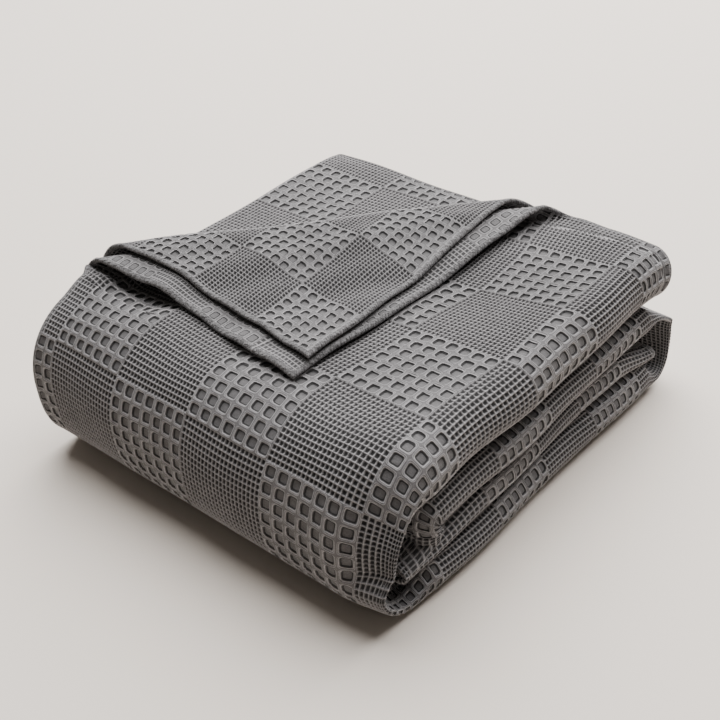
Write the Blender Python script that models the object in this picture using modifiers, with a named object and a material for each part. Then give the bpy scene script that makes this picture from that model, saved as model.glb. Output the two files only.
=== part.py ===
"""Waffle weave cotton blanket, folded: one woven cotton panel with turned hems.

The panel is folded into four plies across X, and the four-ply strip is rolled into four levels
along Y. At the far left corner the two upper plies are turned back over a diagonal crest.
+X is the side with the four fold ridges, -Y the side with the large rounded fold, +Z is up, and
the origin is the middle of the footprint on the surface that the blanket lies on.
"""

import math
from collections import namedtuple

import bmesh
import bpy
from mathutils import Vector

# Driving dimensions, in metres: the hem side and the ridge side in X, the cloth's thickness, the
# space between two levels, and how far the left folds lie inside the hems.
HEM_X = -0.1570
RIDGE_X = 0.1582
SHEET = 0.003
LEVEL_GAP = 0.001
FOLD_INSET = 0.003

# Heights of the borders between the levels, from the top down, over the four footprint corners.
Border = namedtuple("Border", "front_left front_right back_left back_right")
BORDERS = (
    Border(0.1145, 0.1115, 0.1145, 0.1105),
    Border(0.0860, 0.0690, 0.0860, 0.0750),
    Border(0.0575, 0.0445, 0.0575, 0.0525),
    Border(0.0290, 0.0250, 0.0290, 0.0320),
    Border(0.0, 0.0, 0.0, 0.0),
)
CORNER_Y = 0.12
RUN_OUT = 0.1

# The three wraps that join the levels: where each starts in Y, its way, how far its outer and
# inner faces reach, how square its upper and lower halves are, and the steps round it.
Wrap = namedtuple("Wrap", "y way reach inner square_top square_bottom steps")
OUTER_WRAP = Wrap(-0.1110, -1, 0.0555, 0.0235, 2.1, 2.9, 12)
BACK_WRAP = Wrap(0.1285, 1, 0.0380, 0.0130, 2.7, 2.7, 9)
INNER_WRAP = Wrap(-0.1045, -1, 0.0220, 0.0008, 2.2, 2.2, 8)

# Free ends of the strip.
TOP_END = 0.1520
TONGUE_END = 0.1270

# Depths of the second and third ply below the top one where the plies lie close, on level 1.
CLOSE_PLY = 0.0038

# The four ridges on the +X side: how far each is set back, and how uneven it is.
RIDGE_SETBACK = (0.0, 0.0015, 0.0040, 0.0005)
RIDGE_WAVE = 0.0012
RIDGE_WAVE_LENGTH = 0.170

# The turned-back corner: two points on the crest's centre line, and for each turned ply its bend
# radius, its bend line's offset, its height above its own bed at rest, and its tip in plan.
CREST_START = (-0.1500, -0.0815)
CREST_END = (0.0525, 0.1335)
CREST_STEPS = 7
CUT_TOLERANCE = 0.00002
CREST_SLANT = -0.45
FLAP_SLOPE_LENGTH = 0.075
FLAP_SLOPE_CUTS = (0.2, 0.4, 0.6, 0.8)
Turn = namedtuple("Turn", "radius offset rest tip")
TURNS = {
    "top": Turn(0.0070, -0.0050, 0.0040, (0.0455, -0.1095)),
    "second": Turn(0.0116, 0.0, 0.0118, (0.0455, -0.0935)),
}

# Divisions of the plies between their folds.
PLY_STEPS = 6
HIDDEN_PLY_STEPS = 3
RIDGE_STEPS = 8
HEM_FOLD_STEPS = 6
INNER_FOLD_STEPS = 5
TOP_STEPS = 8
LEVEL_STEPS = 4

Station = namedtuple("Station", "left right level")
Span = namedtuple("Span", "inner outer close")
Column = namedtuple("Column", "ply step")


def mix(a, b, share):
    """Value at a share of the way from a to b."""
    return a + (b - a) * share


def ease(share):
    """Smooth step from 0 to 1."""
    share = min(1.0, max(0.0, share))
    return share * share * (3.0 - 2.0 * share)


def border_height(number, y, side):
    """Height of a border between levels at y, on the left (0) or the right (1) of the stack."""
    border = BORDERS[number]
    along = (y + CORNER_Y) / (2.0 * CORNER_Y)
    along = min(1.0 + RUN_OUT, max(-RUN_OUT, along))
    if side:
        return mix(border.front_right, border.back_right, along)
    return mix(border.front_left, border.back_left, along)


def level_span(level, y, side):
    """Middle lines of a level's inner and outer plies at y. Levels 1 and 2 have the outer on top."""
    gap_above = LEVEL_GAP / 2.0 if level > 1 else 0.0
    gap_below = LEVEL_GAP / 2.0 if level < 4 else 0.0
    top = border_height(level - 1, y, side) - gap_above - SHEET / 2.0
    bottom = border_height(level, y, side) + gap_below + SHEET / 2.0
    close = 1.0 if level == 1 else 0.0
    if level <= 2:
        return Span((y, bottom), (y, top), close)
    return Span((y, top), (y, bottom), close)


def wrap_radius(rise, reach, angle, square):
    """Radius of a rounded outline, from its rise at angle 0 to its reach at a quarter turn."""
    flat = (abs(math.cos(angle)) / rise) ** square
    side = (abs(math.sin(angle)) / reach) ** square
    return (flat + side) ** (-1.0 / square)


def wrap_span(wrap, first, last, angle, side):
    """Inner and outer middle lines round a wrap, at an angle of 0 on the level it leaves."""
    start = level_span(first, wrap.y, side)
    end = level_span(last, wrap.y, side)
    centre = (start.inner[1] + end.inner[1]) / 2.0
    near = start if math.cos(angle) > 0.0 else end
    square = wrap.square_top if near.outer[1] > centre else wrap.square_bottom
    inner_reach = wrap.inner + SHEET / 2.0
    outer_reach = wrap.reach - SHEET / 2.0
    inner_radius = wrap_radius(abs(near.inner[1] - centre), inner_reach, angle, square)
    outer_radius = wrap_radius(abs(near.outer[1] - centre), outer_reach, angle, square)
    up = 1.0 if start.outer[1] > start.inner[1] else -1.0
    across = wrap.way * math.sin(angle)
    rise = up * math.cos(angle)
    inner = (wrap.y + inner_radius * across, centre + inner_radius * rise)
    outer = (wrap.y + outer_radius * across, centre + outer_radius * rise)
    close = 1.0 - ease(angle / math.pi) if first == 1 else 0.0
    return Span(inner, outer, close)


def level_stations(level, start, end, steps):
    """Stations along a level, both ends included."""
    stations = []
    for step in range(steps + 1):
        y = mix(start, end, step / steps)
        stations.append(Station(level_span(level, y, 0), level_span(level, y, 1), level))
    return stations


def wrap_stations(wrap, first, last):
    """Stations round a wrap, its two ends left out."""
    stations = []
    for step in range(1, wrap.steps):
        round_share = step / wrap.steps
        angle = math.pi * round_share
        left = wrap_span(wrap, first, last, angle, 0)
        right = wrap_span(wrap, first, last, angle, 1)
        stations.append(Station(left, right, mix(first, last, round_share)))
    return stations


def strip_stations():
    """All stations of the rolled strip, from the free end of level 1 to the tongue of level 3."""
    stations = level_stations(1, TOP_END, OUTER_WRAP.y, TOP_STEPS)
    stations += wrap_stations(OUTER_WRAP, 1, 4)
    stations += level_stations(4, OUTER_WRAP.y, BACK_WRAP.y, LEVEL_STEPS)
    stations += wrap_stations(BACK_WRAP, 4, 2)
    stations += level_stations(2, BACK_WRAP.y, INNER_WRAP.y, LEVEL_STEPS)
    stations += wrap_stations(INNER_WRAP, 2, 3)
    stations += level_stations(3, INNER_WRAP.y, TONGUE_END, LEVEL_STEPS)
    return stations


def span_length(span):
    """Distance between the middle lines of the inner and the outer ply."""
    return math.dist(span.inner, span.outer)


def close_shares(span):
    """Shares across the span at which the two middle plies lie: third ply, then second ply."""
    length = span_length(span)
    third = mix(1.0 / 3.0, 1.0 - 2.0 * CLOSE_PLY / length, span.close)
    second = mix(2.0 / 3.0, 1.0 - CLOSE_PLY / length, span.close)
    return third, second


def ridge_edge(station):
    """X of the middle line of the ply at the crown of the ridge."""
    lower = min(3, int(station.level - 1.0))
    upper = min(3, lower + 1)
    setback = mix(RIDGE_SETBACK[lower], RIDGE_SETBACK[upper], station.level - 1.0 - lower)
    y = station.right.outer[0]
    wave = RIDGE_WAVE * math.sin(2.0 * math.pi * y / RIDGE_WAVE_LENGTH + station.level)
    return RIDGE_X - SHEET / 2.0 - RIDGE_WAVE - setback + wave


def column_list():
    """Columns across the panel, from the hem of the top ply to the hem of the second ply."""
    columns = [Column("top", step / PLY_STEPS) for step in range(PLY_STEPS + 1)]
    columns += [Column("ridge", step / RIDGE_STEPS) for step in range(1, RIDGE_STEPS)]
    columns += [Column("bottom", step / HIDDEN_PLY_STEPS) for step in range(HIDDEN_PLY_STEPS + 1)]
    columns += [Column("left fold", step / HEM_FOLD_STEPS) for step in range(1, HEM_FOLD_STEPS)]
    columns += [Column("third", step / HIDDEN_PLY_STEPS) for step in range(HIDDEN_PLY_STEPS + 1)]
    columns += [Column("inner fold", step / INNER_FOLD_STEPS) for step in range(1, INNER_FOLD_STEPS)]
    columns += [Column("second", step / PLY_STEPS) for step in range(PLY_STEPS + 1)]
    return columns


def column_place(column, station):
    """X of a column at a station, and its share across the four plies."""
    third, second = close_shares(station.right)
    left_third = close_shares(station.left)[0]
    ridge_radius = span_length(station.right) / 2.0
    ridge_start = ridge_edge(station) - ridge_radius
    left_radius = span_length(station.left) * left_third / 2.0
    left_end = HEM_X + FOLD_INSET + left_radius
    angle = math.pi * column.step
    if column.ply == "top":
        return mix(HEM_X, ridge_start, column.step), 1.0
    if column.ply == "ridge":
        return ridge_start + ridge_radius * math.sin(angle), (1.0 + math.cos(angle)) / 2.0
    if column.ply == "bottom":
        return mix(ridge_start, left_end, column.step), 0.0
    if column.ply == "left fold":
        return left_end - left_radius * math.sin(angle), left_third * (1.0 - math.cos(angle)) / 2.0
    if column.ply == "third":
        return mix(left_end, ridge_start, column.step), mix(left_third, third, column.step)
    if column.ply == "inner fold":
        fold_radius = span_length(station.right) * (second - third) / 2.0
        share = mix(third, second, (1.0 - math.cos(angle)) / 2.0)
        return ridge_start + fold_radius * math.sin(angle), share
    left_second = close_shares(station.left)[1]
    return mix(ridge_start, HEM_X, column.step), mix(second, left_second, column.step)


def stack_point(column, station):
    """Place of a grid point in the folded stack, before its corner is turned back."""
    x, share = column_place(column, station)
    across = (x - HEM_X) / (RIDGE_X - HEM_X)
    inner = Vector(station.left.inner).lerp(Vector(station.right.inner), across)
    outer = Vector(station.left.outer).lerp(Vector(station.right.outer), across)
    y, z = inner.lerp(outer, share)
    return Vector((x, y, z))


def crest_axes(turn):
    """Start of a turned ply's bend line, its direction, and the way beyond it, in plan."""
    start = Vector(CREST_START)
    along = (Vector(CREST_END) - start).normalized()
    beyond = Vector((-along.y, along.x))
    return start + beyond * turn.offset, along, beyond


def flap_stretch(turn):
    """Stretch and slant that bring a turned ply's corner to its tip."""
    start, along, beyond = crest_axes(turn)
    corner = Vector((HEM_X, TOP_END)) - start
    tip = Vector(turn.tip) - start
    length = corner.dot(beyond) - math.pi * turn.radius
    reach = -tip.dot(beyond)
    bend_shift = 2.0 * turn.radius * CREST_SLANT
    slant = (tip.dot(along) - corner.dot(along) - bend_shift) / reach
    return reach / length, slant


def turn_back(point, turn):
    """Bend a point that lies beyond the crest up and back over the stack."""
    start, along, beyond = crest_axes(turn)
    plan = Vector((point.x, point.y)) - start
    distance = plan.dot(beyond)
    if distance <= 0.0:
        return point
    line = start + along * plan.dot(along)
    angle = min(math.pi, distance / turn.radius)
    rise = turn.radius * (1.0 - math.cos(angle))
    line += along * CREST_SLANT * rise
    if angle < math.pi:
        x, y = line + beyond * turn.radius * math.sin(angle)
        return Vector((x, y, point.z + rise))
    stretch, slant = flap_stretch(turn)
    run = (distance - math.pi * turn.radius) * stretch
    x, y = line - beyond * run + along * slant * run
    drop = (2.0 * turn.radius - turn.rest) * ease(run / FLAP_SLOPE_LENGTH)
    return Vector((x, y, point.z + rise - drop))


def crest_cuts(turn):
    """Distances beyond the crest's centre line at which a turned ply needs an edge."""
    bend = math.pi * turn.radius
    cuts = [bend * step / CREST_STEPS for step in range(CREST_STEPS + 1)]
    cuts += [bend + FLAP_SLOPE_LENGTH * share for share in FLAP_SLOPE_CUTS]
    return cuts


def ply_elements(elements, layer, ply):
    """Edges or vertices that touch a turned ply's faces."""
    return [item for item in elements if any(face[layer] == ply for face in item.link_faces)]


def cut_ply(mesh, layer, ply, turn):
    """Cut a ply along lines parallel to the crest."""
    start, _, beyond = crest_axes(turn)
    for cut in crest_cuts(turn):
        place = start + beyond * cut
        faces = [face for face in mesh.faces if face[layer] == ply]
        edges = ply_elements(mesh.edges, layer, ply)
        verts = ply_elements(mesh.verts, layer, ply)
        bmesh.ops.bisect_plane(
            mesh,
            geom=verts + edges + faces,
            dist=CUT_TOLERANCE,
            plane_co=(place.x, place.y, 0.0),
            plane_no=(beyond.x, beyond.y, 0.0),
        )


def turn_ply(mesh, layer, ply, turn):
    """Cut one ply along the crest, clear its old grid beyond it, and turn its corner back."""
    cut_ply(mesh, layer, ply, turn)
    start, _, beyond = crest_axes(turn)
    verts = ply_elements(mesh.verts, layer, ply)
    reach = {vert: (vert.co.xy - start).dot(beyond) for vert in verts}
    across = []
    for edge in ply_elements(mesh.edges, layer, ply):
        ends = [reach[vert] for vert in edge.verts]
        inside = len(edge.link_faces) == 2 and min(ends) > -CUT_TOLERANCE
        if inside and abs(ends[0] - ends[1]) > CUT_TOLERANCE:
            across.append(edge)
    bmesh.ops.dissolve_edges(mesh, edges=across, use_verts=True)
    for vert in ply_elements(mesh.verts, layer, ply):
        vert.co = turn_back(vert.co, turn)


def panel_mesh():
    """The folded panel's middle surface, as one open grid of quads."""
    stations = strip_stations()
    columns = column_list()
    mesh = bmesh.new()
    layer = mesh.faces.layers.int.new("turned ply")
    rows = []
    for station in stations:
        rows.append([mesh.verts.new(stack_point(column, station)) for column in columns])
    plies = list(TURNS)
    for row in range(len(stations) - 1):
        for place in range(len(columns) - 1):
            near, far = rows[row], rows[row + 1]
            face = mesh.faces.new((near[place], near[place + 1], far[place + 1], far[place]))
            ply = columns[place].ply
            same_ply = ply == columns[place + 1].ply
            if ply in plies and same_ply and stations[row + 1].level == 1:
                face[layer] = 1 + plies.index(ply)
    for number, ply in enumerate(plies):
        turn_ply(mesh, layer, 1 + number, TURNS[ply])
    bmesh.ops.recalc_face_normals(mesh, faces=mesh.faces)
    return mesh


def cotton_material():
    """Dark grey cotton."""
    material = bpy.data.materials.new("cotton")
    material.use_nodes = True
    shader = material.node_tree.nodes["Principled BSDF"]
    shader.inputs["Base Color"].default_value = (0.085, 0.083, 0.082, 1.0)
    shader.inputs["Roughness"].default_value = 0.92
    shader.inputs["Metallic"].default_value = 0.0
    return material


def make_blanket(collection):
    """The blanket: the panel's middle surface, thickened to the cloth's thickness."""
    data = bpy.data.meshes.new("blanket")
    mesh = panel_mesh()
    mesh.to_mesh(data)
    mesh.free()
    data.materials.append(cotton_material())
    data.shade_smooth()
    blanket = bpy.data.objects.new("blanket", data)
    collection.objects.link(blanket)
    thickness = blanket.modifiers.new("thickness", "SOLIDIFY")
    thickness.thickness = SHEET
    thickness.offset = 0.0
    return blanket


def main():
    """Clear the scene and model the folded blanket."""
    for item in list(bpy.data.objects):
        bpy.data.objects.remove(item, do_unlink=True)
    collection = bpy.data.collections.new("waffle_weave_blanket")
    bpy.context.scene.collection.children.link(collection)
    make_blanket(collection)


main()
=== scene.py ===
"""Looks of the folded waffle weave blanket: woven relief, hems, cotton, floor, light and camera."""

import math
from collections import namedtuple

import bpy
import numpy as np
from mathutils import Matrix, Vector


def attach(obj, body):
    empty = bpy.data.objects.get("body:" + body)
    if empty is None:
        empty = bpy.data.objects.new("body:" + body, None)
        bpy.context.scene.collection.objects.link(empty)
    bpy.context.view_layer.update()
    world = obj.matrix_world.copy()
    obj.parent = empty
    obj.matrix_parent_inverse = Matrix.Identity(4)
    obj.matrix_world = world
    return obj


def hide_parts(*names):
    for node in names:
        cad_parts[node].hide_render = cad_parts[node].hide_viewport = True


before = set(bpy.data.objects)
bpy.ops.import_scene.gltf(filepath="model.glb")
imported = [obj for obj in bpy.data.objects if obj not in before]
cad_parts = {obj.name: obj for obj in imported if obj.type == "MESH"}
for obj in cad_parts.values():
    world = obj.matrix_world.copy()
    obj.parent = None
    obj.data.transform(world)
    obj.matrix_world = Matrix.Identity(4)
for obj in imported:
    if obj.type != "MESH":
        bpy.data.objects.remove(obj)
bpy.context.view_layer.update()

Border = namedtuple("Border", "front_left front_right back_left back_right")
Wrap = namedtuple("Wrap", "y way reach inner square_top square_bottom")
Turn = namedtuple("Turn", "radius offset rest tip")
Ramp = namedtuple("Ramp", "start length")
Window = namedtuple("Window", "start rise end fall")
Borders = namedtuple("Borders", "numbers places")
Line = namedtuple("Line", "place width")
Noise = namedtuple("Noise", "scale detail")

# ---- the folded panel, as in the CAD
# Sizes and places are in metres.
HEM_X = -0.1570
RIDGE_X = 0.1582
SHEET = 0.003
LEVEL_GAP = 0.001
FOLD_INSET = 0.003
BORDERS = (
    Border(0.1145, 0.1115, 0.1145, 0.1105),
    Border(0.0860, 0.0690, 0.0860, 0.0750),
    Border(0.0575, 0.0445, 0.0575, 0.0525),
    Border(0.0290, 0.0250, 0.0290, 0.0320),
    Border(0.0, 0.0, 0.0, 0.0),
)
CORNER_Y = 0.12
RUN_OUT = 0.1
OUTER_WRAP = Wrap(-0.1110, -1, 0.0555, 0.0235, 2.1, 2.9)
BACK_WRAP = Wrap(0.1285, 1, 0.0380, 0.0130, 2.7, 2.7)
INNER_WRAP = Wrap(-0.1045, -1, 0.0220, 0.0008, 2.2, 2.2)
TOP_END = 0.1520
TONGUE_END = 0.1270
CLOSE_PLY = 0.0038
RIDGE_SETBACK = (0.0, 0.0015, 0.0040, 0.0005)
RIDGE_WAVE = 0.0012
RIDGE_WAVE_LENGTH = 0.170
CREST_START = (-0.1500, -0.0815)
CREST_END = (0.0525, 0.1335)
CREST_SLANT = -0.45
FLAP_SLOPE_LENGTH = 0.075
TURNS = {
    "top": Turn(0.0070, -0.0050, 0.0040, (0.0455, -0.1095)),
    "second": Turn(0.0116, 0.0, 0.0130, (0.0455, -0.0935)),
}

# ---- how soft cloth departs from it
# Names in _ACROSS go by x and in _ALONG by y, in metres. Names in _TURNS go by the strip
# coordinate t: one unit each for level 1, the outer wrap, level 4, the back wrap, level 2, the
# inner wrap and level 3. A Ramp with a negative length falls. A share is 0 at a level's inner face
# and 1 at its outer face. The outer ply's patch ends at LOOP_END, its length from x = 0 and on
# round the ridge, and the bottom ply goes on from there.
LOOP_END = 0.1885
BOTTOM_ARC = 0.12

TROUGH = 0.005
TROUGH_ACROSS = Window(-0.152, 0.020, -0.030, 0.070)
TROUGH_BEFORE_CREST = Window(-0.062, 0.022, -0.001, 0.013)
CREST_BEND_X = (-0.157, -0.100, -0.030, 0.045)
CREST_BEND = (0.015, 0.008, 0.003, 0.0)
CREST_BEND_FADE = 0.090
CREST_BEND_ANGLE = 1.6
CREST_BEND_ASIDE = 1.0 / 3.0
TURNED_LENGTH = 0.020
DROOP_HEIGHT = 0.022
DROOP_LIMIT = 0.9
DROOP_BEFORE_CREST = Ramp(-0.020, 0.020)

HOLLOW_ACROSS = Ramp(0.040, 0.065)
FRONT_HOLLOW = 0.50
BACK_HOLLOW = 0.42
PINCH_ACROSS = Ramp(0.116, 0.034)
PINCH_WIDTH = 0.24
PINCH_MIDDLE = 0.75
FRONT_PINCH = Window(0.0, 0.32, 1.0, 0.22)
FRONT_PINCH_LOW = 0.82
FRONT_PINCH_HIGH = 0.44
FRONT_PINCH_HEIGHT = Ramp(0.034, 0.012)
BACK_PINCH = Window(0.0, 0.25, 1.0, 0.25)
BACK_PINCH_SHARE = 0.90
INNER_PLIES = ("second step", "third step", "inner fold")
INNER_DROP = 0.055
INNER_DROP_ACROSS = Ramp(0.040, 0.050)
INNER_DROP_TURNS = Window(1.0, 0.12, 1.75, 0.25)
LIP_PINCH_TURNS = Window(5.62, 0.20, 6.25, 0.20)
LIP_SHARE = 0.80
LIP_WIDTH = 0.45
LIP_ACROSS = Ramp(0.105, 0.040)
LIP_TURNS = (4.85, 5.10, 5.30, 5.50, 5.68, 5.80, 5.90, 6.04, 6.32)
LIP_REACH = (0.0, 0.000, -0.005, -0.010, -0.008, 0.010, 0.028, 0.026, 0.0)

WEDGE_TOP = 0.0742
WEDGE_SLOPE = 0.70
WEDGE_ACROSS = Ramp(0.080, 0.060)
TONGUE_REACH = 0.0130
TONGUE_ROUND = 0.003
TONGUE_DROP = 0.010
TONGUE_THINNING = 0.60
TONGUE_ACROSS = Ramp(0.030, 0.090)
TONGUE_TURNS = Ramp(6.86, 0.14)
END_OUT = 0.003
END_SLANT = 0.009
END_ACROSS = Ramp(0.0, 0.100)
END_TURNS = Ramp(0.17, -0.17)
TOP_LIFT = 0.003
TOP_LIFT_ACROSS = Ramp(0.020, 0.100)
TOP_LIFT_ALONG = Ramp(0.020, 0.090)
VALLEY_LIFT = 0.0055
VALLEY_ACROSS = Ramp(-0.100, -0.045)
VALLEY_TURNS = Window(0.93, 0.04, 1.11, 0.14)
FLAP_WAVE = 0.0011
RIPPLE = 0.0009
RIPPLE_UP = 0.0011
RIPPLE_LIMIT = 1.3

# ---- the weave and the hems
# Block lines are numbered; their places on the cloth are in metres.
LARGE_CELLS = 7.0
FINE_ACROSS = 21.0
FINE_ALONG = 19.0
ACROSS = Borders(
    (-4, -3, -2, -1, 0, 1, 2), (-0.2010, -0.1370, -0.0727, -0.0075, 0.0620, 0.1330, 0.2050)
)
ALONG = Borders(
    (-19, -16, -13, -10, -7, -4, -2, -1, 0, 1, 2, 3, 4),
    (
        -1.156, -1.008, -0.829, -0.663, -0.517, -0.349, -0.235, -0.159, -0.090, -0.0184,
        0.047, 0.1085, 0.170,
    ),
)
FLAP_ACROSS = Borders((-1, 0, 1, 2), (-0.1640, -0.1141, -0.0648, -0.0170))
FLAP_ALONG = Borders((-2, -1, 0), (0.0284, 0.0920, 0.1555))
THIRD_ACROSS = Borders((-2, -1, 0, 1), (-0.1492, -0.0792, -0.0092, 0.0608))
THIRD_ALONG = Borders((0, 1, 2, 3), (-0.0858, -0.0158, 0.0542, 0.1242))
LINE_NUDGE = 1e-6
SKEW_ALONG = 0.085
SKEW_ACROSS = 0.0055
SKEW_LINES = 2.0
SKEW_FADE = Ramp(2.7, 0.8)
SKEW_PIVOT = 0.1
SKEW_REACH = (-0.05, 0.058)
SIDEWAYS_START = -0.3
SIDEWAYS_RISE = Ramp(-1.6, 1.0)
SECOND_START = 0.14

PIT_DEPTH = 0.0018
PIT_HALF = 0.68
PIT_POWER = 5
PIT_EDGE = Ramp(1.7, -1.2)
FINE_DEPTH = 0.0015
FINE_EDGE = 1.6
LOW_RIB = 0.05
RIM_SHALLOWER = 0.7
RIM_FINE = 0.5
RIM_ACROSS = Ramp(0.118, 0.022)
BACK_RIM_TURNS = Window(3.05, 0.10, 3.97, 0.10)
LIP_RIM_TURNS = Window(5.45, 0.12, 6.25, 0.15)
LIP_RIM_INNER = 0.45
LIP_RIM_OUTER = 0.95
LIP_RIM_CHANGE = Ramp(6.0, -0.04)
INSIDE_RIM_ACROSS = Ramp(0.158, 0.008)
INSIDE_RIM_TURNS = Window(4.95, 0.10, 6.05, 0.10)

HEM_BAND = 0.0030
HEM_FADE = 0.0028
HEM_THINNING = 0.0015
HEM_HALF = 0.0017
HEM_TURNED_EXTRA = 0.0002
HEM_EDGE_HALF = 0.0004
HEM_LINES = (0.00025, 0.0007, 0.0014)
HEM_CLEAR = 0.0018
FLAP_STRETCH_ACROSS = 1.204
FLAP_STRETCH_ALONG = 0.984
STITCH_START = 0.1334
STITCH_SLANT = 0.0956
STITCH_X = 0.074

# ---- the mesh and the flat sizes
# FINE_X and FINE_Y bound the lines that follow the weave; COARSE_X and COARSE_Y are even lines on.
LINES_PER_CELL = 3.0
FOLD_THINNING = 2.0
LINE_CLEAR = 0.25
THINNING = 3
SLOPE_STEP = 1e-5
COARSE_SLOPE_STEP = 3e-5
RIDGE_PATCH_X = 0.110
INNER_HEM_X = (0.0, 0.003, 0.005, 0.007, 0.009, 0.012)
INNER_COARSE_X = (-0.140, RIDGE_PATCH_X, 26)
INNER_LINES = (50, 50, 24, 50)
LEVEL_1_LINES = 40
HIDDEN_LINES = (40, 30, 40, 30, 24, 30)
BOTTOM_STEPS = np.linspace(0.0, 1.0, 26)
LEFT_FOLD_STEPS = np.linspace(0.0, 1.0, 13)
INNER_FOLD_STEPS = np.linspace(0.0, 1.0, 9)
THIRD_STEPS = np.linspace(0.0, 1.0, 24)
SECOND_STEPS = (0.0, 0.955, 20)
SECOND_HEM_STEPS = (0.962, 0.97, 0.98, 0.99, 0.995, 0.998, 1.0)
THIRD_FINE_X = 0.075
THIRD_COARSE_X = (0.085, 0.137, 6)
THIRD_COARSE_Y = (-0.090, 4)
FLAP_FINE_X = 0.078
FLAP_COARSE_X = (0.086, 0.137, 7)
FLAP_FINE_Y = -0.090
FLAP_COARSE_Y = (-0.098, 3)

PLY_WIDTH = 0.29
LEFT_FOLD_WIDTH = 0.014
INNER_FOLD_WIDTH = 0.020
HIDDEN_WIDTHS = (
    ("bottom", PLY_WIDTH), ("left fold", LEFT_FOLD_WIDTH),
    ("third step", PLY_WIDTH), ("inner fold", INNER_FOLD_WIDTH),
)

# ---- the cotton
# In a cell, 0 is its middle and 1 the line between two cells. Noise scales are per metre.
COTTON = (0.160, 0.152, 0.154, 1.0)
CELL_POWER = 5.0
WOBBLE = 0.10
WOBBLE_NOISE = Noise(90.0, 1.0)
# Painted highlight: two thin lines round each large pit, along the raised threads, are made lighter
# in colour.
INNER_THREAD = Line(0.745, 0.062)
OUTER_THREAD = Line(0.885, 0.045)
OUTER_THREAD_SHARE = 0.55
THREAD_HIGHLIGHT = 1.45
FRAY_LEAST = 0.45
FRAY = 1.1
FRAY_NOISE = Noise(330.0, 2.0)
# Painted shade: the pit floors and pit walls of the large cells are darkened in colour where shade
# falls in the pits.
PIT_FLOOR = (0.54, 0.68)
PIT_FLOOR_SHADE = 0.40
PIT_WALL_INSIDE = (0.42, 0.60)
PIT_WALL_OUTSIDE = (0.64, 0.70)
PIT_WALL_SHADE = 0.80
BETWEEN_CELLS = (0.90, 0.99)
BETWEEN_CELLS_DARK = 0.30
UNEVEN = 0.30
UNEVEN_NOISE = Noise(420.0, 1.0)
# Painted shade: the fine pits between the ribs are darkened in colour.
RIB_ALONG = (0.48, 0.76)
RIB_ACROSS = (0.52, 0.80)
# Painted highlight: the cord tops of the fine ribs are made lighter in colour.
CORD_ALONG = (0.74, 0.96)
CORD_ACROSS = (0.76, 0.98)
CORD_ACROSS_SHARE = 0.8
CORD_HIGHLIGHT = 0.80
HEM_MARK = (HEM_BAND - 0.0004, HEM_BAND + 0.0012)
TWILL_BY_LINES = 33.0
TWILL_BY_EDGE = 260.0
TWILL_WANDER = 1.6
TWILL_NOISE = Noise(160.0, 1.0)
TWILL_DARK = 0.6
SEAM = Line(HEM_BAND + 0.0004, 0.0007)
ROUGH = 0.7
ROUGH_NOISE = Noise(620.0, 2.0)
TUFT = (0.38, 0.62)
TUFT_NOISE = Noise(380.0, 3.0)
HEM_DARK = 0.42
TUFT_LIGHT = 0.40
STITCHES = Line(0.0, 0.0008)
# Painted shade: the crease beside the stitched line is darkened in colour.
STITCH_CREASE = Line(0.0016, 0.0014)
STITCH_CREASE_SHADE = 0.6
# How much lighter the painted highlights and the hem's twill, seam and stitches make the colour,
# and how much darker the painted shade and the hem's dark twill make it.
HIGHLIGHT_AND_HEM_TONE = 1.05
DARK_TONE = 0.82
YARN_NOISE = Noise(1300.0, 3.0)
YARN_TONE = (0.62, 0.76)
FUZZ_NOISE = Noise(520.0, 2.0)
FUZZ_TONE = (0.78, 0.46)
PATCH_NOISE = Noise(24.0, 2.0)
PATCH_TONE = (0.90, 0.22)
THREAD_HEIGHT = 0.55
YARN_HEIGHT = 0.45
FUZZ_HEIGHT = 0.55
DARK_HEIGHT = 0.8
TUFT_HEIGHT = 0.9
BUMP_STRENGTH = 0.9
BUMP_DISTANCE = 0.0008

# ---- the floor, the light, the camera
FLOOR_REACH = 12.0
FLOOR_Z = -0.0004
FLOOR_COLOUR = (0.80, 0.72, 0.64, 1.0)
KEY_PLACE = (-0.44, 1.15, 2.0)
KEY_TARGET = (0.0, 0.0, 0.05)
KEY_SIZE = 3.7
KEY_POWER = 248.0
WORLD_COLOUR = (1.0, 0.94, 0.87, 1.0)
WORLD_STRENGTH = 0.12
CAMERA_AZIMUTH = 43.8249
CAMERA_ELEVATION = 35.4841
CAMERA_ROLL = -5.0798
CAMERA_DISTANCE = 0.8807
CAMERA_TARGET = (0.0028, -0.0047, 0.05)
CAMERA_LENS = 62.5
CAMERA_SENSOR = 36.0


def mix(a, b, share):
    return a + (b - a) * share


def ease(share):
    """0 to 1 with level ends."""
    share = np.clip(share, 0.0, 1.0)
    return share * share * (3.0 - 2.0 * share)


def rise(value, ramp):
    """0 at a ramp's start and 1 a length on, smooth between."""
    return ease((value - ramp.start) / ramp.length)


def within(value, window):
    """1 inside a window and 0 outside it, smooth at both ends."""
    return ease((value - window.start) / window.rise) * ease((window.end - value) / window.fall)


def border_height(number, y, side):
    """Height at y of the border under a level, on the left (0) or the right (1) side."""
    border = BORDERS[number]
    along = np.clip((y + CORNER_Y) / (2.0 * CORNER_Y), -RUN_OUT, 1.0 + RUN_OUT)
    if side:
        return mix(border.front_right, border.back_right, along)
    return mix(border.front_left, border.back_left, along)


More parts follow.
